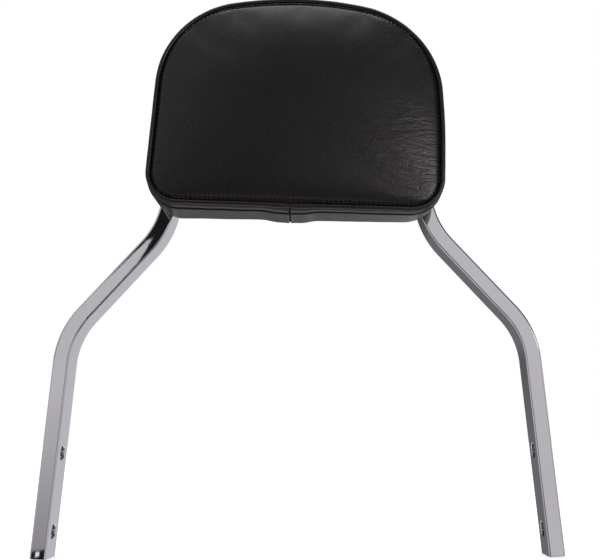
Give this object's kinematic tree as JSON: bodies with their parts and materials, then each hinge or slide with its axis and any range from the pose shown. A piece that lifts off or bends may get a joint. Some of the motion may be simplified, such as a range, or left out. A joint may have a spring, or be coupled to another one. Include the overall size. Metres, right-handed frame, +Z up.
{
  "type": "sissy bar",
  "caption": "Motorcycle sissy bar: a bent flat chrome bar with splayed legs and cross straps, carrying a sewn black vinyl backrest pad.",
  "frame": {"origin": "midway between the two lower leg holes, at the middle of the bar's depth", "axes": "+Z up along the loop, +Y to the back of the bar, away from the pad's face, +X to the right seen from the pad's face"},
  "size_m": [0.3906, 0.084, 0.412],
  "materials": {
    "chrome": "bright chrome plate",
    "vinyl": "satin grained vinyl",
    "liner": "matt backing cloth",
    "foam": "open foam",
    "board": "stained plywood",
    "zinc": "bright zinc plate",
    "rubber": "matt"
  },
  "bodies": {
    "root": {"bar_loop": "chrome", "lower_strap": "chrome", "upper_strap": "chrome", "strap_welds": "chrome", "base_board": "board", "foam_core": "foam", "front_panel": "vinyl", "side_band": "vinyl", "piping": "vinyl", "back_liner": "liner", "cover_staples": "zinc", "tee_nut_1": "zinc", "pad_spacer_1": "rubber", "flat_washer_1": "zinc", "spring_washer_1": "zinc", "pad_bolt_1": "zinc", "tee_nut_2": "zinc", "pad_spacer_2": "rubber", "flat_washer_2": "zinc", "spring_washer_2": "zinc", "pad_bolt_2": "zinc", "tee_nut_3": "zinc", "pad_spacer_3": "rubber", "flat_washer_3": "zinc", "spring_washer_3": "zinc", "pad_bolt_3": "zinc", "tee_nut_4": "zinc", "pad_spacer_4": "rubber", "flat_washer_4": "zinc", "spring_washer_4": "zinc", "pad_bolt_4": "zinc"}
  },
  "joints": []
}
